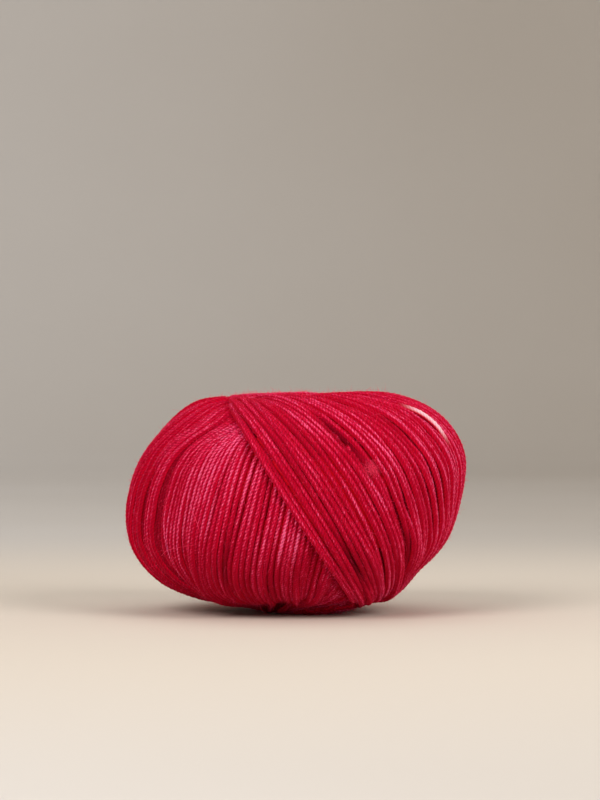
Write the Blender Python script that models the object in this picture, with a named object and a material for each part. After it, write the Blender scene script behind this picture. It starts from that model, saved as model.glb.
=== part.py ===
"""A squashed ball of machine-wound wool yarn, resting on a small flat spot.

The ball is one solid. Its yarn lies in turns that tilt to the winding axis, each a little further
round than the last, so one half of the surface shows the falling side of the newest turns and the
other half shows their rising side. Each side is a lay: a closed body with its bundles of turns
raised as ridges, and with one step, a little over a yarn high, where the winding ended. The ball is
the union of both lays, cut level where it rests. Metres, +Z up, the front faces -Y, and the origin
is at the middle of the ball's base.
"""

import math
import random

import bmesh
import bpy
from mathutils import Matrix, Vector

MM = 0.001

# The ball's form, as its outline shows from the front.
CENTRE_HEIGHT = 34.2 * MM
OUTLINE = (
    # degrees from straight up, millimetres from the centre on the left, and on the right
    (0, 33.0, 33.0),
    (15, 34.0, 34.2),
    (30, 37.2, 38.2),
    (45, 42.8, 45.4),
    (60, 46.2, 52.0),
    (75, 49.4, 54.0),
    (90, 51.9, 50.8),
    (105, 52.3, 47.7),
    (120, 49.2, 44.0),
    (135, 42.6, 42.6),
    (150, 37.2, 37.8),
    (165, 35.9, 36.1),
    (180, 35.2, 35.2),
)

# The winding. Its axis leans to the left at its top, and its turns tilt to that axis.
AXIS_LEAN = math.radians(10.5)
TURN_TILT = math.radians(21.5)
LAST_TURN_AZIMUTH = math.radians(-2.7)
ROUND_THICKNESS = 3.3 * MM  # what one round of turns adds
OUTLINE_AGE = 0.25  # rounds back from the newest turn, where the surface has the outline's own size
SWIRL_LIMIT = 0.93
BUNDLES = 46
BUNDLE_UNEVENNESS = 0.28
COLUMNS_PER_BUNDLE = 3
GROOVE_DEPTH = 0.9 * MM
GROOVE_SHARES = (0.7, 1.3)  # the shallowest and the deepest groove, as shares of that depth
BASE_EDGE = math.radians(26.0)  # from straight down: the grooves end between here
BASE_FULL = math.radians(20.0)  # and here, so that the ball rests on a smooth spot

# The ends of the ball, where the turns pass round a closed-up hole.
CAP_START = math.radians(52.0)
CAP_FULL = math.radians(66.0)
CAP_DROP = 2.2 * MM
DIMPLE_RIM = math.radians(78.0)
DIMPLE_FLOOR = math.radians(87.0)
TOP_DIMPLE_DEPTH = 4.5 * MM
BOTTOM_DIMPLE_DEPTH = 1.5 * MM
LATITUDES = (-88, -83, -77, -71, -65, -58, -51, -43, -34, -25, -15, -5,
             5, 15, 25, 34, 43, 51, 58, 65, 71, 77, 83, 88)  # degrees, of a lay's rows of points

FLOOR_CUTTER_SIZE = 150.0 * MM
TINY = 1e-9
YARN_RED = (0.42, 0.012, 0.035, 1.0)
YARN_ROUGHNESS = 0.85


def ease(low, high, value):
    """0 at low, 1 at high, and smooth between them."""
    share = min(max((value - low) / (high - low), 0.0), 1.0)
    return share * share * (3.0 - 2.0 * share)


def outline_radius(angle, side):
    """The distance from the centre at this angle from straight up, on side 1 (left) or 2 (right)."""
    last = len(OUTLINE) - 1
    place = math.degrees(angle) / (OUTLINE[1][0] - OUTLINE[0][0])
    index = min(int(place), last - 1)
    share = place - index
    near = (abs(index - 1), index, index + 1, last - abs(last - index - 2))
    a, b, c, d = (OUTLINE[k][side] for k in near)
    bend = 2 * a - 5 * b + 4 * c - d
    twist = 3 * (b - c) + d - a
    return MM * (b + 0.5 * share * (c - a + share * (bend + share * twist)))


def form_radius(toward):
    """The smooth form's distance from the centre this way: the outline, blended round the ball."""
    angle = math.acos(max(-1.0, min(1.0, toward.z)))
    right_share = 0.5 + 0.5 * toward.x / max(math.hypot(toward.x, toward.y), TINY)
    left, right = outline_radius(angle, 1), outline_radius(angle, 2)
    return left + (right - left) * right_share


def bundle_columns(seed):
    """Each column of points: (azimuth where its line meets the equator, groove depth there)."""
    rng = random.Random(seed)
    widths = [1.0 + BUNDLE_UNEVENNESS * rng.uniform(-1.0, 1.0) for _ in range(BUNDLES)]
    turn = math.tau / sum(widths)
    columns, start = [], 0.0
    for width in widths:
        for k in range(COLUMNS_PER_BUNDLE):
            azimuth = (start + width * k / COLUMNS_PER_BUNDLE) * turn
            columns.append((azimuth, GROOVE_DEPTH * rng.uniform(*GROOVE_SHARES) if k == 0 else 0.0))
        start += width
    return columns


def lay_mesh(name, slant, newest, wins_at_ends, seed):
    """One lay as a closed mesh: slant is -1 where its lines lean left as they rise, and 1 where they
    lean right. The newest turn is at the azimuth newest, with older, deeper ones to the right of it."""
    axis = Matrix.Rotation(-AXIS_LEAN, 3, "Y")
    columns = bundle_columns(seed)
    mesh = bmesh.new()
    rows = []
    for degrees in LATITUDES:
        latitude = math.radians(degrees)
        lean = math.tan(latitude) * math.tan(TURN_TILT)
        swirl = math.asin(max(-SWIRL_LIMIT, min(SWIRL_LIMIT, lean)))
        end_share = ease(CAP_START, CAP_FULL, abs(latitude))
        dimple = TOP_DIMPLE_DEPTH if latitude > 0 else BOTTOM_DIMPLE_DEPTH
        drop = dimple * ease(DIMPLE_RIM, DIMPLE_FLOOR, abs(latitude))
        if not wins_at_ends:
            drop += CAP_DROP * end_share
        row = []
        for from_newest, groove in columns:
            azimuth = newest + from_newest + slant * swirl
            toward = axis @ Vector((math.sin(azimuth) * math.cos(latitude),
                                    -math.cos(azimuth) * math.cos(latitude),
                                    math.sin(latitude)))
            age = from_newest / math.tau - OUTLINE_AGE
            radius = form_radius(toward) - drop - ROUND_THICKNESS * age * (1.0 - end_share)
            from_down = math.acos(max(-1.0, min(1.0, -toward.z)))
            off_base = ease(BASE_FULL, BASE_EDGE, from_down)
            radius -= groove * off_base * (1.0 - ease(CAP_FULL, DIMPLE_FLOOR, abs(latitude)))
            row.append(mesh.verts.new(toward * radius))
        rows.append(row)
    for low, high in zip(rows, rows[1:]):
        for k in range(len(columns)):
            after = (k + 1) % len(columns)
            mesh.faces.new((low[k], low[after], high[after], high[k]))
    for row, latitude in ((rows[0], -math.pi / 2), (rows[-1], math.pi / 2)):
        middle = sum((v.co for v in row), Vector()) / len(row)
        tip = mesh.verts.new(middle)
        for k in range(len(columns)):
            after = (k + 1) % len(columns)
            ends = (row[k], row[after]) if latitude > 0 else (row[after], row[k])
            mesh.faces.new((*ends, tip))
    bmesh.ops.translate(mesh, verts=mesh.verts, vec=(0.0, 0.0, CENTRE_HEIGHT))
    data = bpy.data.meshes.new(name)
    mesh.to_mesh(data)
    mesh.free()
    data.shade_smooth()
    return data


def yarn_material():
    material = bpy.data.materials.new("wool_red")
    material.use_nodes = True
    shader = material.node_tree.nodes["Principled BSDF"]
    shader.inputs["Base Color"].default_value = YARN_RED
    shader.inputs["Roughness"].default_value = YARN_ROUGHNESS
    shader.inputs["Metallic"].default_value = 0.0
    return material


def added(name, data, helper=False):
    body = bpy.data.objects.new(name, data)
    bpy.context.scene.collection.objects.link(body)
    if helper:
        body.hide_render = True
        body.display_type = "WIRE"
    return body


def floor_cutter():
    """A block whose top face is the level on which the ball rests."""
    mesh = bmesh.new()
    bmesh.ops.create_cube(mesh, size=FLOOR_CUTTER_SIZE)
    bmesh.ops.translate(mesh, verts=mesh.verts, vec=(0.0, 0.0, -0.5 * FLOOR_CUTTER_SIZE))
    data = bpy.data.meshes.new("floor_cutter")
    mesh.to_mesh(data)
    mesh.free()
    return added("floor_cutter", data, helper=True)


def boolean(body, operation, other):
    modifier = body.modifiers.new(other.name, "BOOLEAN")
    modifier.operation = operation
    modifier.object = other


def yarn_ball():
    falling = lay_mesh("yarn_ball", -1, LAST_TURN_AZIMUTH, True, seed=11)
    rising = lay_mesh("rising_lay", 1, LAST_TURN_AZIMUTH + math.pi, False, seed=12)
    falling.materials.append(yarn_material())
    ball = added("yarn_ball", falling)
    boolean(ball, "UNION", added("rising_lay", rising, helper=True))
    boolean(ball, "DIFFERENCE", floor_cutter())
    return ball


def main():
    for old in list(bpy.data.objects):
        bpy.data.objects.remove(old, do_unlink=True)
    yarn_ball()


main()
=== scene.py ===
"""The looks of a ball of red wool yarn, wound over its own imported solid.

Each turn of the outer round tilts to the winding axis and lies a little further round than the one
before, so half of the surface shows the newest turns' falling side and half their rising side. The
turns settle on each other from the oldest to the newest, what nothing covers is kept, and Geometry
Nodes give it its plies. Nests of older turns close both ends of the ball round the winding hole, a
core fills what lies under them, and loose fibres stand off the yarn.
"""

import functools
import math
from collections import namedtuple
from math import cos, pi, radians, sin, tan

import bpy
import numpy as np
from bpy.props import FloatProperty, FloatVectorProperty, IntProperty, PointerProperty
from mathutils import Matrix, Vector
from mathutils.kdtree import KDTree


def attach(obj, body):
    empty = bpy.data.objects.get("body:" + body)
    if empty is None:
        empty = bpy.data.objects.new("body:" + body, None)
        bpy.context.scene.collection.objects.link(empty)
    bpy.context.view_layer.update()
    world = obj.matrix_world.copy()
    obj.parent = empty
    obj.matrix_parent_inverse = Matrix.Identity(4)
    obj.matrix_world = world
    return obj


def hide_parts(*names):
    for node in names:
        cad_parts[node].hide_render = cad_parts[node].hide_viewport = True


bl_info = {
    "name": "Yarn Ball Looks",
    "version": (1, 0, 0),
    "blender": (4, 5, 0),
    "location": "View3D > Sidebar > Yarn Ball",
    "description": "Winds, plies and lights a ball of wool yarn round its packed solid",
    "category": "Object",
}

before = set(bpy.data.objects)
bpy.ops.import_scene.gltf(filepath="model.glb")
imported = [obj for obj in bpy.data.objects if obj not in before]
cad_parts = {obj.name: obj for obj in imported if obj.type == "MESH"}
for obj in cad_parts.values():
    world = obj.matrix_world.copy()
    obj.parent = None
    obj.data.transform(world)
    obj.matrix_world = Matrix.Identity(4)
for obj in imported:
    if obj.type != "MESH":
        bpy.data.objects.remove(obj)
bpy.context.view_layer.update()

MM = 0.001
TINY = 1e-9
SOLID = "yarn_ball"
BODY = "root"

# The ball's form: its solid's, a little smaller at the sides, where crests and fibres stand proud.
CENTRE_HEIGHT = 34.2 * MM
OUTLINE = (
    # degrees from straight up, millimetres from the centre on the left, and on the right
    (0, 33.0, 33.0),
    (15, 34.0, 34.2),
    (30, 37.2, 38.2),
    (45, 42.3, 44.9),
    (60, 45.2, 51.2),
    (75, 48.7, 53.0),
    (90, 51.2, 49.9),
    (105, 52.2, 47.1),
    (120, 48.5, 43.2),
    (135, 42.5, 41.9),
    (150, 37.2, 37.8),
    (165, 35.9, 36.1),
    (180, 35.2, 35.2),
)
CENTRE = np.array((0.0, 0.0, CENTRE_HEIGHT))
NEARLY_LEVEL = 1e-3  # the least slope of a direction that goes down to the floor

# The winding. Its axis leans to the left at its top. Each turn lies further round the ball than the
# newer one before it, and the newest turns lie a little wider apart than the others. Places along
# the yarn count turns from where the newest one passes the front.
AXIS_LEAN = radians(10.5)
LAST_TURN_AZIMUTH = radians(-2.7)
ROUND_THICKNESS = 3.3 * MM
OUTLINE_AGE = 0.25
WIDE_TURNS, WIDE_REACH = 4.0, 24.0
SAMPLES_PER_TURN = 1024
TURN_PIECES = 5
FIRST_PLACE, TUCKED_LENGTH, TAIL_START = -0.28, 0.03, -0.17  # the outer end goes under a turn
TUCK_DEPTH, TUCK_START = 5.0 * MM, 0.45
CAP_START, CAP_FULL = radians(52.0), radians(66.0)
HOLLOW_RIM, HOLLOW_FLOOR = radians(76.0), radians(87.0)
TOP_HOLLOW, BASE_HOLLOW = 5.2 * MM, 1.8 * MM
LEAST_CLOSING = 1e-4
MOST_CROWDED = 4.0  # turns that may pile up at the ends of the ball
BEHIND_LIMIT, BEHIND_GROWTH = 1.1, 1.1  # of how many rounds a turn lies behind the newest one
UNDER_START, UNDER_FULL, UNDER_PAINTED_LIGHT = 0.1, 0.4, 0.6  # yarn this far behind gets painted light: a lighter red that lifts the shade in the gaps
MIDDLE_GIRTH = 1.035
OPENING_REACH = 2.2  # turns beside a groove over which its opening fades
END_STIFFNESS = 4.0  # how soon the turns waver, away from the ends of the ball

# The nests of older turns, in degrees of tilt of the first and the last one, and from each to the
# next.
NEST_TURNS, NEST_SEEDS = 92, {1: 71, -1: 81}
NEST_TILTS, NEST_TILT_EASE, NEST_TILT_SPREAD = (20.5, 4.6), 0.85, 0.7
NEST_STEP, NEST_STEP_SPREAD = 21.3, 5.0
NEST_HALF_LENGTH, NEST_SAMPLE_SHARE = 62.0, 0.75
NEST_DEPTH = {1: 0.7 * MM, -1: 0.4 * MM}
NEST_DIVE = 4.5 * MM
NEST_DIVE_START, NEST_DIVE_END = radians(2.5), radians(14.0)
NEST_WAVES = 0.97, 8  # in a turn's width, and along one turn
NEST_AGE = 1000.0

# Settling: how far a strand may sink or rise from its even level, and how soft a contact is.
MAP_CELLS = 280
MAP_SIZE = 6 * MAP_CELLS ** 2
CONTACT_OFFSETS = np.linspace(-0.92, 0.92, 9)
LEAST_SEEN_OFFSETS, SEEN_MARGIN = 4, 0.12 * MM
HIDDEN_REACH = 11
LEAST_RUN = 2 * HIDDEN_REACH + 4
SETTLED_REACH, SEEN_REACH, STRAND_END = 9, 6, 8
BELL_WIDTH = 0.45
SOFT_CONTACT, FLOOR_CONTACT = 0.72, 0.98
SINK, RISE = 0.35 * MM, 0.55 * MM
RINGS_PER_TWIST, SIDES_PER_PLY, PLY_DEPTH = 6.5, 2, 0.17
FIBRE_PHASE = 0.29  # how far the fibres' pattern moves on from one turn to the next

CORE_ROWS, CORE_COLUMNS = 80, 160
CORE_END = 89.0
CORE_REACH, CORE_SAMPLE_STEP, CORE_DROP = 0.055, 5, 0.25 * MM
HOLE_DEPTH = 11.0 * MM
HOLE_EDGE, HOLE_RIM = radians(5.0), radians(9.0)  # of the winding hole's pit

# Smooth unevenness over the turns: seed, waves in a turn's width, waves along one turn, how much.
WAVE_ROWS = 256
SIDEWAYS_WAVES = (
    (31, 0.93, 10, 0.28), (32, 0.91, 5, 0.34), (33, 0.42, 5, 0.60), (34, 0.17, 4, 1.10))
LEVEL_WAVES = ((41, 0.97, 14, -0.15), (43, 0.31, 5, -0.45))
BED_WAVES = ((42, 0.99, 2, 0.5),)
TILT_WAVES = ((21, 0.6, 2, radians(0.8)),)
SHADE_WAVES = ((51, 0.96, 6, 0.34), (52, 0.99, 26, 0.5), (53, 0.12, 3, 0.12))
GIRTH_WAVES = ((61, 0.98, 10, 0.06),)

# Places on the ball are given in degrees round it, from the newest turn to older ones, and in
# degrees along the turn: 0 at the front's middle, 90 at the top, 180 behind, -90 at the base.
GROOVES = (
    # round, along, half its length, turns that sink to each side, millimetres it opens, and sinks
    (32.4, 22, 16, 0.9, 1.6, 2.6),
    (36.2, -28, 18, 0.9, 1.0, 2.1),
    (41.4, -8, 6, 0.9, 0.4, 0.6),
    (54.6, 20, 12, 0.9, 0.8, 1.5),
    (10.4, -30, 18, 0.9, 0.7, 1.1),
    (3.1, 15, 20, 0.9, 0.3, 0.5),
    (20.4, 22, 14, 0.9, 0.2, 0.6),
    (27.0, -28, 16, 0.9, 0.3, 0.6),
    (66.2, 6, 18, 0.9, 0.3, 0.6),
    (125.4, 163, 26, 1.2, 0.9, 1.7),
    (126.4, 203, 15, 1.0, 1.4, 1.8),
    (115.4, 177, 18, 0.9, 1.4, 1.9),
    (108.0, 174, 20, 1.0, 1.4, 2.1),
    (100.0, 174, 20, 0.9, 0.8, 1.8),
    (92.0, 172, 24, 0.9, 1.0, 2.0),
    (118.4, 206, 14, 0.9, 0.8, 1.7),
    (161.0, 198, 14, 1.0, 0.8, 1.4),
    (142.0, 200, 14, 1.0, 0.8, 1.3),
    (149.5, 196, 12, 0.9, 0.4, 0.8),
    (178.0, 213, 13, 0.9, 0.3, 0.8),
    (187.0, 206, 10, 0.9, 0.3, 0.7),
)
GROOVE_PAINTED_SHADE = 1.2  # painted shade: how much darker the yarn is painted for each millimetre of a groove's depth
SWEEPS = (
    # round, along, half its width, half its length, millimetres to the newer side, and down
    (27.0, -50, 17, 28, -2.8, 0.0),
    (154.0, 214, 18, 24, 4.4, 0.0),
    (122.0, 208, 15, 14, -6.0, 1.0),
    (134.0, 133, 24, 13, -7.0, 0.0),
    (125.0, 186, 12, 17, -1.5, 0.5),
    (187.0, 232, 22, 18, -3.5, 0.0),
    (56.0, -20, 12, 18, -1.6, 0.0),
    (75.0, 0, 14, 26, 0.0, 0.8),
    (250.0, 10, 20, 26, 2.4, 0.0),
    (300.0, 190, 20, 26, -2.4, 0.0),
)
CROSSINGS = (
    # one turn's place round, along, half its length, millimetres to the newer side
    (70.0, 35, 16, 2.6),
    (131.0, 196, 15, -2.4),
    (230.0, 10, 20, 3.0),
    (301.0, 190, 18, -3.0),
)
TONES = (
    # round, along, half its length, how much lighter
    (1.4, 45, 14, 0.55),
    (5.3, 12, 22, 0.5),
    (21.2, -12, 20, 0.8),
    (23.0, 36, 10, 0.8),
    (29.8, 12, 18, 0.7),
    (51.4, 5, 14, 0.5),
    (54.5, 22, 9, 0.6),
    (9.7, -30, 16, -0.8),
    (185.7, 201, 11, 1.1),
    (181.0, 192, 9, 0.9),
    (163.5, 168, 12, 0.6),
    (160.0, 205, 12, 0.8),
    (115.0, 170, 14, 0.6),
    (142.0, 152, 12, 0.5),
)
TONE_AND_LIGHT_PATCHES = (
    # round, along, half its width, half its length, how much lighter; partly the yarn's tone,
    # partly painted light and painted shade
    (146.0, 164, 24, 22, 0.34),
    (96.0, 150, 20, 24, -0.25),
    (155.0, 216, 30, 18, -0.12),
    (22.0, -38, 22, 20, -0.08),
    (62.0, 12, 20, 26, 0.40),
    (30.0, 30, 18, 14, 0.15),
    (13.0, 8, 15, 28, -0.50),
)
PALE_STRETCHES = (
    # round, along, half its length
    (76.3, 20.5, 8.5),
)
PALE_RISE, PALE_EDGE = 0.7 * MM, (0.15, 0.85)
PILLS = (
    # places round and along where loose fibres have gathered, how far they spread, and how many
    (32.8, 8.0, 1.35 * MM, 640),
)
LONG_FIBRES = (
    # places round and along that each one passes
    ((143.0, 172.9), (145.2, 175.5), (148.5, 180.7), (149.8, 184.2)),
    ((130.4, 189.5), (134.5, 187.5), (141.1, 187.1), (148.7, 187.2)),
)

# How the loose fibres leave the yarn.
FIBRE_SEED = 5
LEAVING_SPREAD, LENGTH_SPREAD = 0.75, 0.45
ROOT_HEIGHT, LIFTS = 0.85, (0.15, 0.9)
STRAY, CURL, LIE = 0.35, 0.9, 0.2
LONG_FIBRE_HEIGHT, LONG_FIBRE_BOW = 0.35 * MM, 0.5 * MM
LONG_FIBRE_WIDTH, LONG_FIBRE_STEPS = 2.4, 5

# The finishes. Grains: how many in a metre along the yarn and across it, detail and roughness.
WOOL_GRAINS = (
    ((260.0, 2600.0, 2600.0), 3.0, 0.6),  # streaks
    ((1100.0, 1700.0, 1700.0), 3.0, 0.7),  # specks
    ((700.0, 9000.0, 9000.0), 2.0, 0.6),  # single fibres
)
PAINTED_HIGHLIGHT_SHARPNESS = 3.2
TONE_BASE = -2.06
TONE_SHARES = (0.42, 1.0, 1.7, 1.3, 0.28)  # of the shade, streaks, specks, the painted highlight where the yarn faces straight out, and the painted highlight on ply crests
TONE_STOPS = (0.12, 0.5, 0.95)  # where the deep, the main and the light red stand
# painted light: the lighter red of the flanks and of yarn far behind, which lifts the shade in the
# gaps
PAINTED_GAP_LIGHT_RED = (0.78, 0.0030, 0.036, 1.0)
PALE_PINK = (0.95, 0.56, 0.62, 1.0)
WOOL_FINISH = {
    "Roughness": 0.85,
    "Specular IOR Level": 0.03,
    "Subsurface Weight": 0.5,
    "Subsurface Radius": (1.0, 0.12, 0.2),
    "Subsurface Scale": 1.2 * MM,
    "Sheen Weight": 0.03,
    "Sheen Roughness": 0.4,
    "Sheen Tint": (1.0, 0.35, 0.5, 1.0),
}
# the core's reds, partly painted light: lighter than the yarn's main red, to lift the shade in the
# gaps
CORE_REDS = (0.58, 0.0005, 0.010, 1.0), (0.80, 0.0015, 0.018, 1.0)
# painted shade: near-black red at the bottom of the winding hole
HOLE_PAINTED_SHADE = (0.10, 0.0002, 0.004, 1.0)
LOOSE_RED = (0.95, 0.055, 0.15, 1.0)

LIGHTS = (
    # name, place, watts
    ("key_light", (-0.75, -1.1, 0.9), 14.5),
    ("fill_light", (0.95, -1.0, 0.7), 14.5),
    ("top_light", (0.1, 0.2, 1.4), 1.2),
)
LIGHT_SIZE = 0.9
LIGHT_COLOUR = (1.0, 0.98, 0.96)
AIR_COLOUR = (0.80, 0.785, 0.76, 1.0)
AIR_STRENGTH = 0.93
FLOOR_RINGS = (0.1, 0.22, 0.35, 0.55, 0.9)
FLOOR_RADIUS = 1.4
SWEEP_COLUMNS = 96
SWEEP_BEND = 0.9
WALL_HEIGHT = 2.6
FLOOR_COLOUR = (0.68, 0.61, 0.53, 1.0)
WALL_LEFT = (0.64, 0.61, 0.58, 1.0)
WALL_RIGHT = (0.52, 0.475, 0.425, 1.0)
LENS, SENSOR = 147.5, 36.0
AIM = (1.2 * MM, 0.0, 64.7 * MM)


class YarnSettings(bpy.types.PropertyGroup):
    """The yarn and how it is wound."""

    yarn_width: FloatProperty(
        name="Yarn Width", description="Width of the plied yarn",
        default=1.86 * MM, min=0.5 * MM, unit="LENGTH")
    plies: IntProperty(
        name="Plies", description="Strands twisted together in the yarn", default=4, min=2, max=8)
    twist_pitch: FloatProperty(
        name="Twist Pitch", description="Length of yarn in which its plies go once round",
        default=4.5 * MM, min=1.0 * MM, unit="LENGTH")
    turns: IntProperty(
        name="Turns a Round", description="Turns of yarn that cover the ball once",
        default=175, min=40)
    turn_tilt: FloatProperty(
        name="Turn Tilt", description="Angle between a turn and the winding axis",
        default=radians(21.5), min=0.0, max=radians(60.0), subtype="ANGLE")
    # partly painted shade: the ramp reaches this red on the flanks as well as on darker fibres
    deep_red_and_painted_shade: FloatVectorProperty(
        name="Deep Red", description="Colour of the yarn's darker fibres",
        default=(0.44, 0.0008, 0.019), size=3, min=0.0, max=1.0, subtype="COLOR")
    red: FloatVectorProperty(
        name="Red", description="Main colour of the yarn",
        default=(0.62, 0.010, 0.060), size=3, min=0.0, max=1.0, subtype="COLOR")
    # partly painted highlight: the ramp reaches this red where the yarn faces out and on ply
    # crests, as well as on lighter fibres
    light_red_and_painted_highlight: FloatVectorProperty(
        name="Light Red", description="Colour of the yarn's lighter fibres",
        default=(0.86, 0.125, 0.28), size=3, min=0.0, max=1.0, subtype="COLOR")


class FuzzSettings(bpy.types.PropertyGroup):
    """The loose fibres."""

    fibre_count: IntProperty(
        name="Fibres", description="Short fibres that stand off the yarn", default=18000, min=0)
    fibre_length: FloatProperty(
        name="Fibre Length", description="Length of a middling fibre",
        default=1.2 * MM, min=0.1 * MM, unit="LENGTH")
    fibre_width: FloatProperty(
        name="Fibre Width", description="Width of a fibre where it is widest",
        default=0.05 * MM, min=0.01 * MM, unit="LENGTH")


class StageSettings(bpy.types.PropertyGroup):
    """The floor, the backdrop and the camera."""

    camera_distance: FloatProperty(
        name="Camera Distance", description="From the camera to the ball's middle",
        default=1.0, min=0.3, unit="LENGTH")
    camera_elevation: FloatProperty(
        name="Camera Elevation", description="How far the camera looks down",
        default=radians(2.3), subtype="ANGLE")


# ---- form


def ease(low, high, value):
    """0 at low, 1 at high, and smooth between them."""
    share = np.clip((value - low) / (high - low), 0.0, 1.0)
    return share * share * (3.0 - 2.0 * share)


def unit(vectors):
    return vectors / np.linalg.norm(vectors, axis=-1, keepdims=True)


def outline_radius(angle, side):
    """The distance from the centre at these angles from straight up, on side 1 (left) or 2."""
    table = np.array([row[side] for row in OUTLINE])
    last = len(OUTLINE) - 1
    place = np.degrees(angle) / (OUTLINE[1][0] - OUTLINE[0][0])
    index = np.minimum(place.astype(int), last - 1)
    share = place - index
    near = (np.abs(index - 1), index, index + 1, last - np.abs(last - index - 2))
    a, b, c, d = (table[k] for k in near)
    bend = 2 * a - 5 * b + 4 * c - d
    twist = 3 * (b - c) + d - a
    return MM * (b + 0.5 * share * (c - a + share * (bend + share * twist)))


def falling_slope(toward):
    """How steeply these directions go down, and never quite level."""
    return np.maximum(-toward[:, 2], NEARLY_LEVEL)


def form_radius(toward):
    """The smooth form's distance from the centre in these directions, above the floor."""
    angle = np.arccos(np.clip(toward[:, 2], -1.0, 1.0))
    from_axis = np.maximum(np.hypot(toward[:, 0], toward[:, 1]), TINY)
    right_share = 0.5 + 0.5 * toward[:, 0] / from_axis
    left, right = outline_radius(angle, 1), outline_radius(angle, 2)
    form = left + (right - left) * right_share
    return np.minimum(form, CENTRE_HEIGHT / falling_slope(toward))


def winding_frame():
    """The winding's front, right and axis, as unit vectors."""
    lean = Matrix.Rotation(-AXIS_LEAN, 3, "Y")
    return tuple(np.array(lean @ Vector(v)) for v in ((0, -1, 0), (1, 0, 0), (0, 0, 1)))


def waves(seed, across, along, cells_along):
    """Smooth unevenness from -1 to 1, which changes over one unit of across and goes round a turn
    in cells_along."""
    lattice = np.random.default_rng(seed).uniform(-1.0, 1.0, (WAVE_ROWS, cells_along))
    row, column = np.floor(across).astype(int), np.floor(along).astype(int)
    x, y = ease(0.0, 1.0, across - row), ease(0.0, 1.0, along - column)

    def corner(i, j):
        return lattice[(row + i) % WAVE_ROWS, (column + j) % cells_along]

    low = corner(0, 0) * (1.0 - x) + corner(1, 0) * x
    high = corner(0, 1) * (1.0 - x) + corner(1, 1) * x
    return low * (1.0 - y) + high * y


def turn_waves(turn, table):
    """The sum of a table's waves at these places along the yarn."""
    return sum(size * waves(seed, turn * across, turn % 1.0 * along, along)
               for seed, across, along, size in table)


def smoothed(values, reach):
    """The values averaged over a bell that reaches this many samples each way."""
    bell = np.exp(-0.5 * (np.arange(-reach, reach + 1) / (BELL_WIDTH * reach)) ** 2)
    return np.convolve(np.pad(values, reach, mode="edge"), bell / bell.sum(), mode="valid")


# ---- winding


# What decides how the yarn lies.
Spool = namedtuple("Spool", "yarn_width turns turn_tilt")
# Points along the yarn, in the order in which the path runs: arrays of one length.
Winding = namedtuple("Winding", "toward across level turn strand shade pale under girth")


def turn_directions(azimuth, tilt, tau):
    """Unit directions along tilted turns, and the unit vectors to their newer side."""
    front, right, axis = winding_frame()
    azimuth, tilt, tau = azimuth[:, None], tilt[:, None], tau[:, None]
    near = np.cos(azimuth) * front + np.sin(azimuth) * right
    east = np.cos(azimuth) * right - np.sin(azimuth) * front
    up = np.cos(tilt) * axis - np.sin(tilt) * east
    across = -(np.cos(tilt) * east + np.sin(tilt) * axis)
    return np.cos(tau) * near + np.sin(tau) * up, across


def lay_ages(toward, tilt):
    """How many rounds old the newer lay is in these directions, and their latitudes."""
    front, right, axis = winding_frame()
    latitude = np.arcsin(np.clip(toward @ axis, -1.0, 1.0))
    azimuth = np.arctan2(toward @ right, toward @ front)
    swirl = np.arcsin(np.clip(np.tan(latitude) * tan(tilt), -1.0, 1.0))
    falling = (azimuth + swirl - LAST_TURN_AZIMUTH) / math.tau % 1.0
    rising = (azimuth - swirl - LAST_TURN_AZIMUTH - pi) / math.tau % 1.0
    return np.minimum(falling, rising), latitude


def surface_depth(newest, latitude):
    """How far under the form the surface lies, where its turns are this old."""
    hollow = np.where(latitude > 0.0, TOP_HOLLOW, BASE_HOLLOW)
    hollow = hollow * ease(HOLLOW_RIM, HOLLOW_FLOOR, np.abs(latitude))
    past_caps = 1.0 - ease(CAP_START, CAP_FULL, np.abs(latitude))
    return hollow + ROUND_THICKNESS * (newest - OUTLINE_AGE) * past_caps


def apart(first, second):
    """Degrees from the second angle to the first, the short way round."""
    return (first - second + 180.0) % 360.0 - 180.0


def round_angle(spool, turn):
    """How far round the ball this turn lies from the newest one."""
    return math.tau / spool.turns * (turn + WIDE_TURNS * np.tanh(turn / WIDE_REACH))


def round_step(spool, turn):
    """How far round the next turn lies from this one."""
    widening = WIDE_TURNS / WIDE_REACH / np.cosh(turn / WIDE_REACH) ** 2
    return math.tau / spool.turns * (1.0 + widening)


def passes_by(spool, turn, rows):
    """For each row, which begins with places round and along and half a length: how many turns
    older than the place each pass is, how near each point is to it, and the row's rest."""
    for round_place, along_place, half_length, *rest in rows:
        at = np.round(turn - along_place / 360.0) + along_place / 360.0
        off = apart(np.degrees(round_angle(spool, at)), round_place)
        near = np.exp(-(apart(turn % 1.0 * 360.0, along_place) / half_length) ** 2)
        yield off / np.degrees(round_step(spool, at)), near, rest


def spot(spool, turn, round_place, along_place, half_width, half_length):
    """How near each point is to a place on the ball, from 0 to 1."""
    beside = apart(np.degrees(round_angle(spool, turn)), round_place) / half_width
    along = apart(turn % 1.0 * 360.0, along_place) / half_length
    return np.exp(-beside ** 2 - along ** 2)


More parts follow.
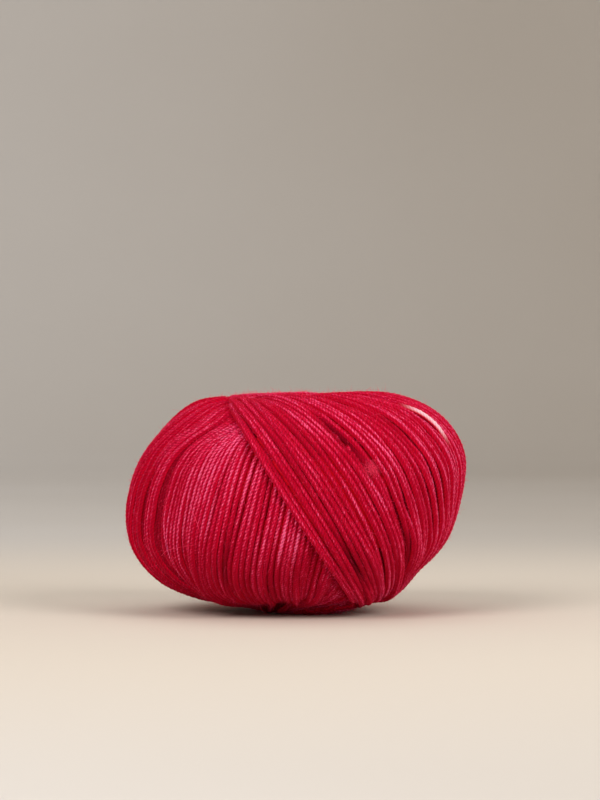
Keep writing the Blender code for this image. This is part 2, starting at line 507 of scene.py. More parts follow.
def worked_in(spool, turn):
    """What the tables say of each point: how far it lies to the newer side of its even course and
    under its even level, how light it is, from about -1 to 1, with painted shade in the grooves
    and patches that are partly painted light and shade, and how pale."""
    tables = (SIDEWAYS_WAVES, LEVEL_WAVES, SHADE_WAVES)
    aside, down, shade = (turn_waves(turn, table) for table in tables)
    pale = np.zeros(len(turn))
    for off, near, (sunk, opening, deep) in passes_by(spool, turn, GROOVES):
        sinking = deep * np.exp(-(off / sunk) ** 2) * near
        aside -= 0.5 * opening * np.sign(off) * np.exp(-np.abs(off) / OPENING_REACH) * near
        down += sinking
        # painted shade: yarn that sinks into a groove is painted darker
        shade -= GROOVE_PAINTED_SHADE * sinking
    for *place, far, deep in SWEEPS:
        near = spot(spool, turn, *place)
        aside += far * near
        down += deep * near
    # patches of the yarn's tone, partly painted light and painted shade
    for *place, lighter in TONE_AND_LIGHT_PATCHES:
        shade += lighter * spot(spool, turn, *place)
    for total, table in ((aside, CROSSINGS), (shade, TONES)):
        for off, near, (more,) in passes_by(spool, turn, table):
            total += more * (np.abs(off) <= 0.5) * near
    for off, near, _ in passes_by(spool, turn, PALE_STRETCHES):
        pale += (np.abs(off) <= 0.5) * ease(*PALE_EDGE, near)
    aside *= np.tanh(END_STIFFNESS * np.cos(turn * math.tau))
    return aside * MM, down * MM, shade, pale


def outer_round(spool):
    """The newest round of turns, as one path from its tucked-in end to a little past a round."""
    count = int((spool.turns - WIDE_TURNS + 1.0 - FIRST_PLACE) * SAMPLES_PER_TURN)
    turn = FIRST_PLACE + np.arange(count) / SAMPLES_PER_TURN
    tucked = 1.0 - ease(FIRST_PLACE + TUCKED_LENGTH, TAIL_START, turn)
    tilt = (spool.turn_tilt + turn_waves(turn, TILT_WAVES)) * (1.0 - tucked)
    azimuth = LAST_TURN_AZIMUTH + round_angle(spool, turn)
    toward, across = turn_directions(azimuth, tilt, turn * math.tau)
    aside, down, shade, pale = worked_in(spool, turn)
    radius = form_radius(toward)
    toward = unit(toward + (aside / radius)[:, None] * across)
    newest, latitude = lay_ages(toward, spool.turn_tilt)

    closing = np.cos(latitude) ** 2 - sin(spool.turn_tilt) ** 2
    spacing = radius * round_step(spool, turn) * np.sqrt(np.maximum(closing, LEAST_CLOSING))
    crowding = np.clip(spool.yarn_width / spacing, 1.0, MOST_CROWDED)
    behind = round_angle(spool, turn) / math.tau - newest
    behind -= np.round(np.clip(behind, None, 0.0))
    behind = np.clip(behind, 0.0, BEHIND_LIMIT)
    depth = surface_depth(newest, latitude)
    depth += ROUND_THICKNESS * (0.5 + 0.5 * crowding) * behind * (1.0 + BEHIND_GROWTH * behind)
    depth += (crowding - 1.0) * spool.yarn_width * (0.5 + turn_waves(turn, BED_WAVES))
    depth += down + TUCK_DEPTH * ease(TUCK_START, 1.0, tucked) - PALE_RISE * pale
    return Winding(
        toward=toward, across=across, turn=turn, strand=np.zeros(count, int),
        shade=shade, pale=pale, level=form_radius(toward) - 0.5 * spool.yarn_width - depth,
        # painted light that lifts the shade where older yarn shows in the gaps
        under=UNDER_PAINTED_LIGHT * ease(UNDER_START, UNDER_FULL, behind),
        girth=MIDDLE_GIRTH + turn_waves(turn, GIRTH_WAVES))


def end_nest(spool, end, first_strand):
    """Older turns round the winding hole at one end, 1 for the top and -1 for the base."""
    rng = np.random.default_rng(NEST_SEEDS[end])
    half = radians(NEST_HALF_LENGTH)
    count = int(2 * half / math.tau * SAMPLES_PER_TURN * NEST_SAMPLE_SHARE)
    tau = end * pi / 2 + np.linspace(-half, half, count)
    place = np.linspace(0.0, 1.0, count)

    def uneven(k, step, along):
        across = np.full(count, k * NEST_WAVES[0])
        return waves(NEST_SEEDS[end] + step, across, place * along, NEST_WAVES[1])

    parts = []
    for k in range(NEST_TURNS):
        share = (k / (NEST_TURNS - 1)) ** NEST_TILT_EASE
        tilt = NEST_TILTS[0] + (NEST_TILTS[1] - NEST_TILTS[0]) * share
        tilt = radians(tilt + rng.normal(0.0, NEST_TILT_SPREAD))
        azimuth = radians(NEST_STEP * k + rng.normal(0.0, NEST_STEP_SPREAD))
        toward, across = turn_directions(np.full(count, azimuth), np.full(count, tilt), tau)
        bend = uneven(k, 1, 5) * 0.5 * MM
        toward = unit(toward + (bend / form_radius(toward))[:, None] * across)
        _, latitude = lay_ages(toward, tilt)
        from_axis = pi / 2 - np.abs(latitude)
        depth = surface_depth(OUTLINE_AGE, latitude) + NEST_DEPTH[end]
        depth += NEST_DIVE * ease(tilt + NEST_DIVE_START, tilt + NEST_DIVE_END, from_axis)
        parts.append(Winding(
            toward=toward, across=across, turn=np.full(count, NEST_AGE + k),
            level=form_radius(toward) - 0.5 * spool.yarn_width - depth,
            strand=np.full(count, first_strand + k),
            shade=0.5 * uneven(k, 2, 4) - 0.15, pale=np.zeros(count), under=np.zeros(count),
            girth=1.0 + 0.05 * uneven(k, 3, 6)))
    return parts


# ---- settling


def cells(toward):
    """The cell of the height map in each direction: six cube faces, each in equal angles."""
    flat = toward.reshape(-1, 3)
    rows = np.arange(len(flat))
    face = np.abs(flat).argmax(axis=1)
    main = flat[rows, face]
    places = []
    for step in (1, 2):
        slope = np.arctan(flat[rows, (face + step) % 3] / main) * 4.0 / pi
        places.append(np.clip(((slope + 1.0) * 0.5 * MAP_CELLS).astype(int), 0, MAP_CELLS - 1))
    side = 2 * face + (main > 0)
    return ((side * MAP_CELLS + places[0]) * MAP_CELLS + places[1]).reshape(toward.shape[:-1])


def tops(toward, across, level, radius):
    """The map cells under a strand's upper side, and its height, a row for each offset."""
    offsets = CONTACT_OFFSETS[:, None] * radius
    beside = unit(toward[None] + (offsets / level)[..., None] * across[None])
    return cells(beside), np.sqrt(radius ** 2 - offsets ** 2)


def settle(winding, order, radius):
    """Lays the yarn from the oldest part to the newest, each on what is already there."""
    heights = np.zeros(MAP_SIZE)
    for part in order:
        level = winding.level[part]
        cell, bulge = tops(winding.toward[part], winding.across[part], level, radius)
        contact = (heights[cell] + SOFT_CONTACT * bulge).max(axis=0)
        height = smoothed(np.clip(contact, level - SINK, level + RISE), SETTLED_REACH)
        winding.level[part] = height
        np.maximum.at(heights, cell, height + bulge)


def slices(cuts):
    return [slice(a, b) for a, b in zip(cuts, cuts[1:])]


def seen_runs(winding, radius):
    """Which points show, and the slices of the path that do, with a little to each side."""
    level = smoothed(winding.level, SEEN_REACH)
    starts = np.flatnonzero(np.diff(winding.strand)) + 1
    for cut in starts:
        end = slice(max(cut - STRAND_END, 0), cut + STRAND_END)
        level[end] = winding.level[end]
    floor_level = (CENTRE_HEIGHT - FLOOR_CONTACT * radius) / falling_slope(winding.toward)
    winding.level[:] = np.minimum(level, floor_level)
    cell, bulge = tops(winding.toward, winding.across, winding.level, radius)
    height = winding.level + bulge
    heights = np.zeros(MAP_SIZE)
    np.maximum.at(heights, cell, height)
    seen = (height >= heights[cell] - SEEN_MARGIN).sum(axis=0) >= LEAST_SEEN_OFFSETS
    kept = np.convolve(seen, np.ones(2 * HIDDEN_REACH + 1), mode="same") > 0.5
    edges = np.zeros(len(kept) + 1, bool)
    edges[[0, -1, *starts]] = True
    edges[1:-1] |= kept[1:] != kept[:-1]
    runs = [run for run in slices(np.flatnonzero(edges)) if kept[run.start]]
    return seen, [run for run in runs if run.stop - run.start > LEAST_RUN]


def spool_of(yarn):
    return Spool(yarn.yarn_width, yarn.turns, yarn.turn_tilt)


@functools.lru_cache(maxsize=1)
def wound(spool):
    """The settled yarn of the outer round and the nests, which of it shows, and its runs."""
    nests = end_nest(spool, 1, 1) + end_nest(spool, -1, 1 + NEST_TURNS)
    outer = outer_round(spool)
    starts = len(outer.turn) + np.cumsum([0] + [len(nest.turn) for nest in nests])
    stops = [*range(0, len(outer.turn), SAMPLES_PER_TURN), len(outer.turn)]
    winding = Winding(*map(np.concatenate, zip(outer, *nests)))
    settle(winding, slices(starts)[::-1] + slices(stops)[::-1], 0.5 * spool.yarn_width)
    return winding, *seen_runs(winding, 0.5 * spool.yarn_width)


def shared_out(winding, runs):
    """The runs of each piece: the outer round's in equal shares, and the nests'."""
    outer = [run for run in runs if winding.strand[run.start] == 0]
    ends = np.cumsum([run.stop - run.start for run in outer])
    shares = np.minimum((ends - 1) * TURN_PIECES // ends[-1], TURN_PIECES - 1)
    pieces = {f"yarn_turns_{k + 1}": [run for run, share in zip(outer, shares) if share == k]
              for k in range(TURN_PIECES)}
    pieces["yarn_end_nests"] = [run for run in runs if winding.strand[run.start] > 0]
    return pieces


def marked(mesh, field, values):
    """Keeps a number at each point of the mesh, under this name."""
    attribute = mesh.attributes.new(field, "FLOAT", "POINT")
    attribute.data.foreach_set("value", values.astype(np.float32))


def lines_mesh(name, lines, fields):
    """A mesh of edges along these lines, with these fields at their points."""
    points = np.concatenate(lines)
    ends = np.cumsum([len(line) for line in lines])
    starts = np.setdiff1d(np.arange(len(points)), ends - 1)
    mesh = bpy.data.meshes.new(name)
    mesh.vertices.add(len(points))
    mesh.edges.add(len(starts))
    mesh.vertices.foreach_set("co", points.ravel())
    mesh.edges.foreach_set("vertices", np.stack([starts, starts + 1], axis=1).ravel())
    for field, values in fields.items():
        marked(mesh, field, np.concatenate(values))
    mesh.update()
    return mesh


def run_mesh(name, winding, runs, ring_spacing):
    """The kept runs as a mesh of edges, with what the yarn's tree and material read."""
    names = ("shade", "pale", "under", "girth")
    lines, fields = [], {name: [] for name in ("along", *names)}
    for run in runs:
        place = CENTRE + winding.toward[run] * winding.level[run][:, None]
        steps = np.linalg.norm(np.diff(place, axis=0), axis=1)
        length = np.concatenate([[0.0], np.cumsum(steps)])
        at = np.linspace(0.0, length[-1], max(int(length[-1] / ring_spacing), 2) + 1)
        lines.append(np.stack([np.interp(at, length, place[:, k]) for k in range(3)], axis=1))
        fields["along"].append(winding.turn[run][0] * FIBRE_PHASE + at)
        for field in names:
            fields[field].append(np.interp(at, length, getattr(winding, field)[run]))
    return lines_mesh(name, lines, fields)


# ---- core and fibres


def core_level(toward, winding, seen):
    """How far the core reaches this way: just under the lowest yarn that shows nearby."""
    index = np.flatnonzero(seen)[::CORE_SAMPLE_STEP]
    tree = KDTree(len(index))
    for k, direction in enumerate(winding.toward[index]):
        tree.insert(direction, k)
    tree.balance()
    level = winding.level[index]
    result = []
    for direction in toward:
        near = [k for _, k, _ in tree.find_range(direction, CORE_REACH)]
        result.append(level[near or [tree.find(direction)[1]]].min() - CORE_DROP)
    return np.array(result)


def fibre_lines(winding, seen, spool, fuzz):
    """Short loose fibres: each leaves the yarn's outer side, bends and stays above the floor."""
    rng = np.random.default_rng(FIBRE_SEED)
    showing = np.flatnonzero(seen)
    at = rng.choice(showing, fuzz.fibre_count)
    for round_place, along_place, reach, count in PILLS:
        azimuth = np.array([LAST_TURN_AZIMUTH + radians(round_place)])
        middle, _ = turn_directions(azimuth, np.array([spool.turn_tilt]), np.radians([along_place]))
        off = np.linalg.norm(winding.toward[showing] - middle, axis=1) * winding.level[showing]
        near = np.exp(-(off / reach) ** 2)
        at = np.concatenate([at, rng.choice(showing, count, p=near / near.sum())])
    outward, across = winding.toward[at], winding.across[at]
    onward = np.cross(outward, across) * rng.choice((-1.0, 1.0), len(at))[:, None]
    angle = rng.normal(0.0, LEAVING_SPREAD, len(at))[:, None]
    leaving = np.cos(angle) * outward + np.sin(angle) * across
    root = CENTRE + outward * winding.level[at][:, None]
    root += leaving * ROOT_HEIGHT * 0.5 * spool.yarn_width
    length = fuzz.fibre_length * np.exp(rng.normal(0.0, LENGTH_SPREAD, len(at)))[:, None]
    lift = rng.uniform(*LIFTS, len(at))[:, None]
    stray = STRAY * rng.normal(size=root.shape)
    first = unit(lift * leaving + (1.0 - lift) * onward + stray)
    second = unit(first + CURL * rng.normal(size=root.shape) + LIE * onward)
    bend, end = root + 0.5 * length * first, root + length * (0.5 * first + 0.5 * second)
    curves = np.stack([root, 0.25 * root + 0.5 * bend + 0.25 * end, end], axis=1)
    curves[..., 2] = np.maximum(curves[..., 2], 0.5 * fuzz.fibre_width)
    return list(curves)


def long_fibre(spool, places):
    """A long loose fibre that lies on the yarn and passes these places."""
    places = np.array(places)
    steps = np.linspace(0.0, 1.0, LONG_FIBRE_STEPS * len(places))
    at = np.linspace(0.0, 1.0, len(places))
    azimuth = LAST_TURN_AZIMUTH + np.radians(np.interp(steps, at, places[:, 0]))
    tau = np.radians(np.interp(steps, at, places[:, 1]))
    toward, _ = turn_directions(azimuth, np.full(len(tau), spool.turn_tilt), tau)
    above = LONG_FIBRE_BOW * np.sin(pi * steps) + LONG_FIBRE_HEIGHT
    level = form_radius(toward) - surface_depth(*lay_ages(toward, spool.turn_tilt)) + above
    return CENTRE + toward * level[:, None]


# ---- node helpers


def placed(prefix, tree, kind, inputs=None, output=0, **settings):
    """An output of a new node. Its inputs are linked where a value is a socket, or else set."""
    node = tree.nodes.new(prefix + kind)
    for name, value in settings.items():
        setattr(node, name, value)
    for key, value in (inputs or {}).items():
        if isinstance(value, bpy.types.NodeSocket):
            tree.links.new(value, node.inputs[key])
        else:
            node.inputs[key].default_value = value
    return node.outputs[output]


shaped = functools.partial(placed, "GeometryNode")
shaded = functools.partial(placed, "ShaderNode")


def worked(tree, operation, *values, kind="Math", output=0):
    """The result of a Math or a Vector Math node."""
    return shaded(tree, kind, dict(enumerate(values)), output, operation=operation)


vector_worked = functools.partial(worked, kind="VectorMath")


def scaled(tree, vector, scale):
    return shaded(tree, "VectorMath", {0: vector, "Scale": scale}, operation="SCALE")


def named_field(tree, name, kind="FLOAT"):
    return shaped(tree, "InputNamedAttribute", {"Name": name}, data_type=kind)


def stored(tree, geometry, name, value, kind="FLOAT"):
    """The geometry with this field kept on its points under a name."""
    inputs = {"Geometry": geometry, "Name": name, "Value": value}
    return shaped(tree, "StoreNamedAttribute", inputs, data_type=kind, domain="POINT")


def swept_along(tree, lines, section, width):
    """A closed skin: the section carried along the lines at this width."""
    return shaped(tree, "CurveToMesh", {
        "Curve": lines, "Profile Curve": section, "Scale": width, "Fill Caps": True})


def new_tree(name, inputs):
    """A geometry node tree with these inputs after its geometry, and its ends' sockets."""
    tree = bpy.data.node_groups.new(name, "GeometryNodeTree")
    tree.is_modifier = True
    for end in ("INPUT", "OUTPUT"):
        tree.interface.new_socket("Geometry", in_out=end, socket_type="NodeSocketGeometry")
    for label, kind, description in inputs:
        socket = tree.interface.new_socket(label, in_out="INPUT", socket_type="NodeSocket" + kind)
        socket.description = description
    return tree, tree.nodes.new("NodeGroupInput").outputs, tree.nodes.new("NodeGroupOutput").inputs


def finish_tree(tree, geometry, material, result):
    """Ends a tree as every tree here ends: smooth, realized, and with its material."""
    smooth = shaped(tree, "SetShadeSmooth", {"Geometry": geometry, "Shade Smooth": True})
    real = shaped(tree, "RealizeInstances", {"Geometry": smooth})
    painted = shaped(tree, "SetMaterial", {"Geometry": real, "Material": material})
    tree.links.new(painted, result)


def added(name, data):
    """A new object in the scene."""
    item = bpy.data.objects.new(name, data)
    bpy.context.scene.collection.objects.link(item)
    return item


def made_piece(name, mesh, tree, values):
    """A plain mesh object: what the tree makes of this mesh with these inputs."""
    source = added(name + "_source", mesh)
    modifier = source.modifiers.new(tree.name, "NODES")
    modifier.node_group = tree
    for socket in tree.interface.items_tree:
        if socket.name in values:
            modifier[socket.identifier] = values[socket.name]
    graph = bpy.context.evaluated_depsgraph_get()
    result = bpy.data.meshes.new_from_object(
        source.evaluated_get(graph), preserve_all_data_layers=True, depsgraph=graph)
    bpy.data.objects.remove(source)
    bpy.data.meshes.remove(mesh)
    result.name = name
    return added(name, result)


def around(count):
    """Each place in a ring with the place after it."""
    return [(k, (k + 1) % count) for k in range(count)]


def faced(name, points, faces, material):
    """A smooth mesh object of these points and faces."""
    mesh = bpy.data.meshes.new(name)
    mesh.from_pydata(points, [], faces)
    mesh.shade_smooth()
    mesh.materials.append(material)
    return added(name, mesh)


def taken_on(piece):
    """Says that the piece moves with the ball and stands for its solid."""
    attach(piece, BODY)
    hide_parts(SOLID)


# ---- trees


def yarn_tree():
    """Edges to plied yarn: a lobed section swept along each run and turned with the twist."""
    tree, given, result = new_tree("Plied Yarn", (
        ("Material", "Material", "Finish of the yarn"),
        ("Yarn Radius", "Float", "Half the width of the yarn"),
        ("Plies", "Int", "Strands twisted together"),
        ("Sides a Ply", "Int", "Corners of the section in each ply"),
        ("Ply Depth", "Float", "How far the section dips between plies, as a share of its radius"),
        ("Twist Pitch", "Float", "Length in which the plies go once round"),
        ("Centre", "Vector", "Middle of the ball"),
    ))
    runs = shaped(tree, "MeshToCurve", {"Mesh": given["Geometry"]})
    length = shaped(tree, "SplineParameter", output="Length")
    rounds = worked(tree, "DIVIDE", length, given["Twist Pitch"])
    twist = worked(tree, "MULTIPLY", rounds, math.tau)
    runs = stored(tree, runs, "twist", twist)
    runs = shaped(tree, "SetCurveTilt", {"Curve": runs, "Tilt": twist})

    corners = worked(tree, "MULTIPLY", given["Plies"], given["Sides a Ply"])
    section = shaped(tree, "CurvePrimitiveCircle", {"Resolution": corners, "Radius": 1.0})
    position = shaped(tree, "InputPosition")
    section = stored(tree, section, "round", position, "FLOAT_VECTOR")
    factor = shaped(tree, "SplineParameter")
    angle = worked(tree, "MULTIPLY", worked(tree, "MULTIPLY", factor, math.tau), given["Plies"])
    crest = worked(tree, "MULTIPLY_ADD", worked(tree, "COSINE", angle), 0.5, 0.5)
    # the material paints ply crests lighter and the lines between them darker from this
    section = stored(tree, section, "crest", crest)
    dip = worked(tree, "MULTIPLY", worked(tree, "SUBTRACT", 1.0, crest), given["Ply Depth"])
    lobed = scaled(tree, position, worked(tree, "SUBTRACT", 1.0, dip))
    section = shaped(tree, "SetPosition", {"Geometry": section, "Position": lobed})

    width = worked(tree, "MULTIPLY", named_field(tree, "girth"), given["Yarn Radius"])
    swept = swept_along(tree, runs, section, width)
    turned = shaded(tree, "VectorRotate", {
        "Vector": named_field(tree, "round", "FLOAT_VECTOR"), "Angle": named_field(tree, "twist")},
        rotation_type="Z_AXIS")
    across = scaled(tree, turned, given["Yarn Radius"])
    across = shaded(tree, "SeparateXYZ", {0: across}).node.outputs
    fibre = shaded(tree, "CombineXYZ", {
        "X": named_field(tree, "along"), "Y": across["X"], "Z": across["Y"]})
    swept = stored(tree, swept, "fibre", fibre, "FLOAT_VECTOR")
    away = vector_worked(tree, "SUBTRACT", position, given["Centre"])
    outward = vector_worked(
        tree, "DOT_PRODUCT", shaped(tree, "InputNormal"),
        vector_worked(tree, "NORMALIZE", away), output="Value")
    # the material paints a highlight where this is high and lifts the flanks where it is low
    swept = stored(tree, swept, "outward", outward)
    for helper in ("round", "twist", "along", "girth"):
        swept = shaped(tree, "RemoveAttribute", {"Geometry": swept, "Name": helper})
    finish_tree(tree, swept, given["Material"], result[0])
    return tree


def fibre_tree():
    """Edges to loose fibres: thin, three-sided and tapered to both ends."""
    tree, given, result = new_tree("Loose Fibres", (
        ("Material", "Material", "Finish of the fibres"),
        ("Fibre Radius", "Float", "Half the width of a fibre"),
    ))
    lines = shaped(tree, "MeshToCurve", {"Mesh": given["Geometry"]})
    factor = shaped(tree, "SplineParameter")
    taper = worked(tree, "SUBTRACT", 1.0, worked(tree, "POWER", factor, 3.0))
    taper = worked(tree, "MULTIPLY_ADD", taper, 0.8, 0.2)
    width = worked(tree, "MULTIPLY", taper, given["Fibre Radius"])
    section = shaped(tree, "CurvePrimitiveCircle", {"Resolution": 3, "Radius": 1.0})
    finish_tree(tree, swept_along(tree, lines, section, width), given["Material"], result[0])
    return tree


# ---- materials


def new_material(name, finish):
    """A material with these constants on its shader, its tree, and its shader's sockets."""
    material = bpy.data.materials.new(name)
    material.use_nodes = True
    sockets = material.node_tree.nodes["Principled BSDF"].inputs
    for socket, value in finish.items():
        sockets[socket].default_value = value
    return material, material.node_tree, sockets


def read(tree, name, output="Fac"):
    """A field that the piece keeps on its points."""
    return shaded(tree, "Attribute", output=output, attribute_name=name)


def grain(tree, place, scale, detail, roughness=0.5):
    """The strength of a Noise texture."""
    return shaded(tree, "TexNoise", {
        "Vector": place, "Scale": scale, "Detail": detail, "Roughness": roughness})


def ranged(tree, value, low, high, to_low=0.0, to_high=1.0, **settings):
    """The value taken from one range to another."""
    return shaded(tree, "MapRange", {
        "Value": value, "From Min": low, "From Max": high, "To Min": to_low, "To Max": to_high},
        **settings)


def mixed(tree, share, first, second, blend="MIX"):
    """The colour from a Mix node."""
    return shaded(tree, "Mix", {0: share, 6: first, 7: second}, 2,
                  data_type="RGBA", blend_type=blend)


def wool_material(yarn):
    """Plied red wool: its tone drifts, with fine fibres along it and dark lines between plies,
    deepened by painted shade; painted shade also darkens the flanks and the grooves, painted
    highlights lighten what faces out and the ply crests, and painted light lifts the gaps.
    """
    material, tree, sockets = new_material("red_wool", WOOL_FINISH)
    fibre = read(tree, "fibre", "Vector")
    shade, pale, crest, outward, under = (
        read(tree, name) for name in ("shade", "pale", "crest", "outward", "under"))
    streaks, specks, fine = (
        grain(tree, vector_worked(tree, "MULTIPLY", fibre, stretch), 1.0, detail, roughness)
        for stretch, detail, roughness in WOOL_GRAINS)
    # painted highlight: yarn that faces straight out is painted lighter, its flanks deeper red
    painted_crest_highlight = worked(tree, "POWER", worked(tree, "MAXIMUM", outward, 0.0), PAINTED_HIGHLIGHT_SHARPNESS)
    # the yarn's tone, with painted highlights where it faces out and on ply crests
    tone = TONE_BASE
    for field, share in zip((shade, streaks, specks, painted_crest_highlight, crest), TONE_SHARES):
        tone = worked(tree, "MULTIPLY_ADD", field, share, tone)
    ramp = shaded(tree, "ValToRGB", {"Fac": tone})
    stops = ramp.node.color_ramp.elements
    stops.new(TONE_STOPS[1])
    for stop, place, red in zip(stops, TONE_STOPS, (yarn.deep_red_and_painted_shade, yarn.red, yarn.light_red_and_painted_highlight)):
        stop.position, stop.color = place, (*red, 1.0)
    # painted light: flanks and yarn far behind are painted a lighter red, which lifts the shade of
    # the gaps
    side = ranged(tree, outward, 0.6, 0.1)
    painted_gap_light = worked(tree, "MAXIMUM", side, under)
    colour = mixed(tree, painted_gap_light, ramp, PAINTED_GAP_LIGHT_RED)
    whitened = worked(tree, "MULTIPLY", pale, worked(tree, "SUBTRACT", 1.0, side))
    colour = mixed(tree, whitened, colour, PALE_PINK)
    # painted shade: yarn sunk in a groove is painted darker, from its lowered shade
    painted_groove_shade = ranged(tree, shade, -3.0, -0.6, 0.2, 1.0)
    # painted shade: darker where the section dips between plies, and in grooves
    groove = worked(tree, "MULTIPLY", worked(tree, "MULTIPLY_ADD", crest, 0.3, 0.7), painted_groove_shade)
    grey = shaded(tree, "CombineColor", {"Red": groove, "Green": groove, "Blue": groove})
    tree.links.new(mixed(tree, 1.0, colour, grey, "MULTIPLY"), sockets["Base Color"])
    bump = shaded(tree, "Bump", {"Height": fine, "Strength": 0.5, "Distance": 0.12 * MM})
    tree.links.new(bump, sockets["Normal"])
    return material


def core_material():
    """The yarn deep inside: the bottom of a gap, painted a lighter red that lifts its shade, or of
    the winding hole, painted near black as its shade.
    """
    material, tree, sockets = new_material("inner_wool", {
        "Roughness": 0.95, "Specular IOR Level": 0.1})
    place = shaded(tree, "TexCoord", output="Object")
    red = mixed(tree, grain(tree, place, 900.0, 3.0), *CORE_REDS)
    # painted shade darkens the winding hole
    tree.links.new(mixed(tree, read(tree, "hole"), red, HOLE_PAINTED_SHADE), sockets["Base Color"])
    return material


def fibre_material():
    """Loose wool fibres, lighter than the yarn because light passes through them."""
    return new_material("loose_wool", {
        "Base Color": LOOSE_RED, "Roughness": 0.8, "Specular IOR Level": 0.05})[0]


def paper_material():
    """Plain paper: cream round the ball, then grey, which is a little darker to the right."""
    material, tree, sockets = new_material("studio_paper", {
        "Roughness": 0.9, "Specular IOR Level": 0.1})
    place = shaded(tree, "TexCoord", output="Object")
    distance = vector_worked(tree, "LENGTH", place, output="Value")
    right = shaded(tree, "SeparateXYZ", {0: place})
    right = ranged(tree, right, -0.35, 0.35, interpolation_type="SMOOTHSTEP")
    cloud = worked(tree, "SUBTRACT", grain(tree, place, 2.2, 2.0), 0.5)
    right = worked(tree, "MULTIPLY_ADD", cloud, 0.6, right)
    wall = mixed(tree, right, WALL_LEFT, WALL_RIGHT)
    share = ranged(tree, distance, 0.14, 0.5, interpolation_type="SMOOTHSTEP")
    tree.links.new(mixed(tree, share, FLOOR_COLOUR, wall), sockets["Base Color"])
    return material


# ---- operators


class YARNBALL_OT_wind(bpy.types.Operator):
    """Winds the outer round and the nests at both ends, and keeps what shows as plied yarn"""

    bl_idname = "yarnball.wind"
    bl_label = "Wind the Yarn"

    def execute(self, context):
        yarn = context.scene.yarn_settings
        winding, _, runs = wound(spool_of(yarn))
        tree, values = yarn_tree(), {
            "Material": wool_material(yarn), "Yarn Radius": 0.5 * yarn.yarn_width,
            "Plies": yarn.plies, "Sides a Ply": SIDES_PER_PLY, "Ply Depth": PLY_DEPTH,
            "Twist Pitch": yarn.twist_pitch, "Centre": CENTRE.tolist()}
        for name, members in shared_out(winding, runs).items():
            mesh = run_mesh(name, winding, members, yarn.twist_pitch / RINGS_PER_TWIST)
            taken_on(made_piece(name, mesh, tree, values))
        return {"FINISHED"}


class YARNBALL_OT_core(bpy.types.Operator):
    """Adds the closed body of older yarn that fills what lies under the turns"""

    bl_idname = "yarnball.core"
    bl_label = "Add the Core"

    def execute(self, context):
        winding, seen, _ = wound(spool_of(context.scene.yarn_settings))
        rows, columns = CORE_ROWS, CORE_COLUMNS
        latitude = np.radians(np.linspace(-CORE_END, CORE_END, rows))
        azimuth = np.linspace(0.0, math.tau, columns, endpoint=False)
        lat, az = (grid.ravel() for grid in np.meshgrid(latitude, azimuth, indexing="ij"))
        toward, _ = turn_directions(az, np.zeros(len(az)), lat)
        # where the winding hole's painted shade goes
        hole = 1.0 - ease(HOLE_EDGE, HOLE_RIM, pi / 2 - np.abs(lat))
        level = core_level(toward, winding, seen) - HOLE_DEPTH * hole
        faces = [tuple(range(columns))[::-1], tuple(range((rows - 1) * columns, rows * columns))]
        for low in range(0, (rows - 1) * columns, columns):
            high = low + columns
            faces += [(low + k, low + after, high + after, high + k)
                      for k, after in around(columns)]
        points = CENTRE + toward * level[:, None]
        piece = faced("yarn_core", points.tolist(), faces, core_material())
        marked(piece.data, "hole", hole)
        taken_on(piece)
        return {"FINISHED"}


class YARNBALL_OT_fuzz(bpy.types.Operator):
    """Adds the loose fibres that stand off the yarn"""

    bl_idname = "yarnball.fuzz"
    bl_label = "Add the Loose Fibres"

    def execute(self, context):
        spool, fuzz = spool_of(context.scene.yarn_settings), context.scene.fuzz_settings
        winding, seen, _ = wound(spool)
        short = fibre_lines(winding, seen, spool, fuzz)
        long = [long_fibre(spool, places) for places in LONG_FIBRES]
        half = len(short) // 2
        material, tree = fibre_material(), fibre_tree()
        for name, lines, width in (
                ("yarn_fuzz_1", short[:half], fuzz.fibre_width),
                ("yarn_fuzz_2", short[half:], fuzz.fibre_width),
                ("yarn_long_fibres", long, LONG_FIBRE_WIDTH * fuzz.fibre_width)):
            taken_on(made_piece(name, lines_mesh(name, lines, {}), tree, {
                "Material": material, "Fibre Radius": 0.5 * width}))
        return {"FINISHED"}


class YARNBALL_OT_stage(bpy.types.Operator):
    """Adds the floor that sweeps up into a backdrop, the lights and the camera"""

    bl_idname = "yarnball.stage"
    bl_label = "Set the Stage"

    def execute(self, context):
        scene = context.scene
        stage_sweep()
        middle = Vector((0.0, 0.0, CENTRE_HEIGHT))
        for name, place, power in LIGHTS:
            light = bpy.data.lights.new(name, "AREA")
            light.shape, light.size = "DISK", LIGHT_SIZE
            light.energy, light.color = power, LIGHT_COLOUR
            look_at(added(name, light), Vector(place), middle)
        world = bpy.data.worlds.new("studio_air")
        world.use_nodes = True
        background = world.node_tree.nodes["Background"].inputs
        background["Color"].default_value = AIR_COLOUR
        background["Strength"].default_value = AIR_STRENGTH
        scene.world = world
        scene.view_settings.view_transform = "Standard"
        settings = scene.stage_settings
        far, up = settings.camera_distance, settings.camera_elevation
        data = bpy.data.cameras.new("portrait_camera")
        data.lens, data.sensor_width = LENS, SENSOR
        scene.camera = added("portrait_camera", data)
        place = middle + far * Vector((0.0, -cos(up), sin(up)))
        look_at(scene.camera, place, Vector(AIM))
        return {"FINISHED"}


def look_at(item, place, target):
    """Puts a light or a camera at this place, turned to the target."""
    item.location = place
    item.rotation_euler = (target - place).to_track_quat("-Z", "Y").to_euler()


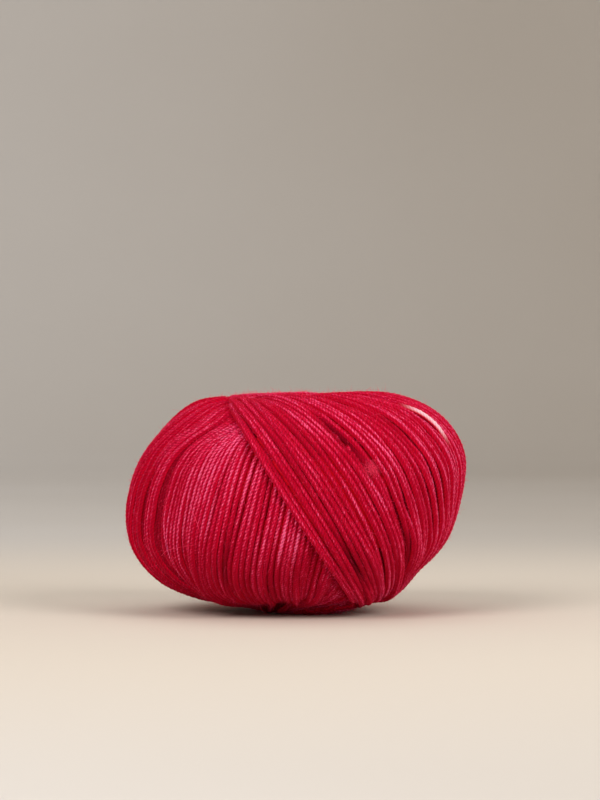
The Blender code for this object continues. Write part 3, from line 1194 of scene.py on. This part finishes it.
def stage_sweep():
    """A round floor that sweeps up into a wall on every side."""
    profile = [(radius, 0.0) for radius in (*FLOOR_RINGS, FLOOR_RADIUS)]
    profile += [(FLOOR_RADIUS + SWEEP_BEND * sin(a), SWEEP_BEND * (1.0 - cos(a)))
                for a in np.radians(np.arange(9.0, 91.0, 9.0))]
    profile.append((FLOOR_RADIUS + SWEEP_BEND, WALL_HEIGHT))
    angles = [math.tau * k / SWEEP_COLUMNS for k in range(SWEEP_COLUMNS)]
    points = [(radius * cos(a), radius * sin(a), height) for radius, height in profile
              for a in angles]
    points.insert(0, (0.0, 0.0, 0.0))
    faces = [(0, 1 + k, 1 + after) for k, after in around(SWEEP_COLUMNS)]
    for ring in range(len(profile) - 1):
        low, high = 1 + ring * SWEEP_COLUMNS, 1 + (ring + 1) * SWEEP_COLUMNS
        faces += [(low + k, high + k, high + after, low + after)
                  for k, after in around(SWEEP_COLUMNS)]
    return faced("studio_sweep", points, faces, paper_material())


class YARNBALL_PT_panel(bpy.types.Panel):
    """Lists the steps that dress the ball"""

    bl_label = "Yarn Ball"
    bl_idname = "YARNBALL_PT_panel"
    bl_space_type = "VIEW_3D"
    bl_region_type = "UI"
    bl_category = "Yarn Ball"

    def draw(self, context):
        for operator in OPERATORS:
            self.layout.operator(operator.bl_idname)


OPERATORS = (YARNBALL_OT_wind, YARNBALL_OT_core, YARNBALL_OT_fuzz, YARNBALL_OT_stage)
GROUPS = (
    ("yarn_settings", YarnSettings),
    ("fuzz_settings", FuzzSettings),
    ("stage_settings", StageSettings),
)


def register():
    for name, group in GROUPS:
        bpy.utils.register_class(group)
        setattr(bpy.types.Scene, name, PointerProperty(type=group))
    for cls in (*OPERATORS, YARNBALL_PT_panel):
        bpy.utils.register_class(cls)


def unregister():
    for cls in (YARNBALL_PT_panel, *reversed(OPERATORS)):
        bpy.utils.unregister_class(cls)
    for name, group in reversed(GROUPS):
        delattr(bpy.types.Scene, name)
        bpy.utils.unregister_class(group)


def main():
    register()
    bpy.ops.yarnball.wind()
    bpy.ops.yarnball.core()
    bpy.ops.yarnball.fuzz()
    bpy.ops.yarnball.stage()
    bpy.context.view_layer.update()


if __name__ == "__main__":
    main()
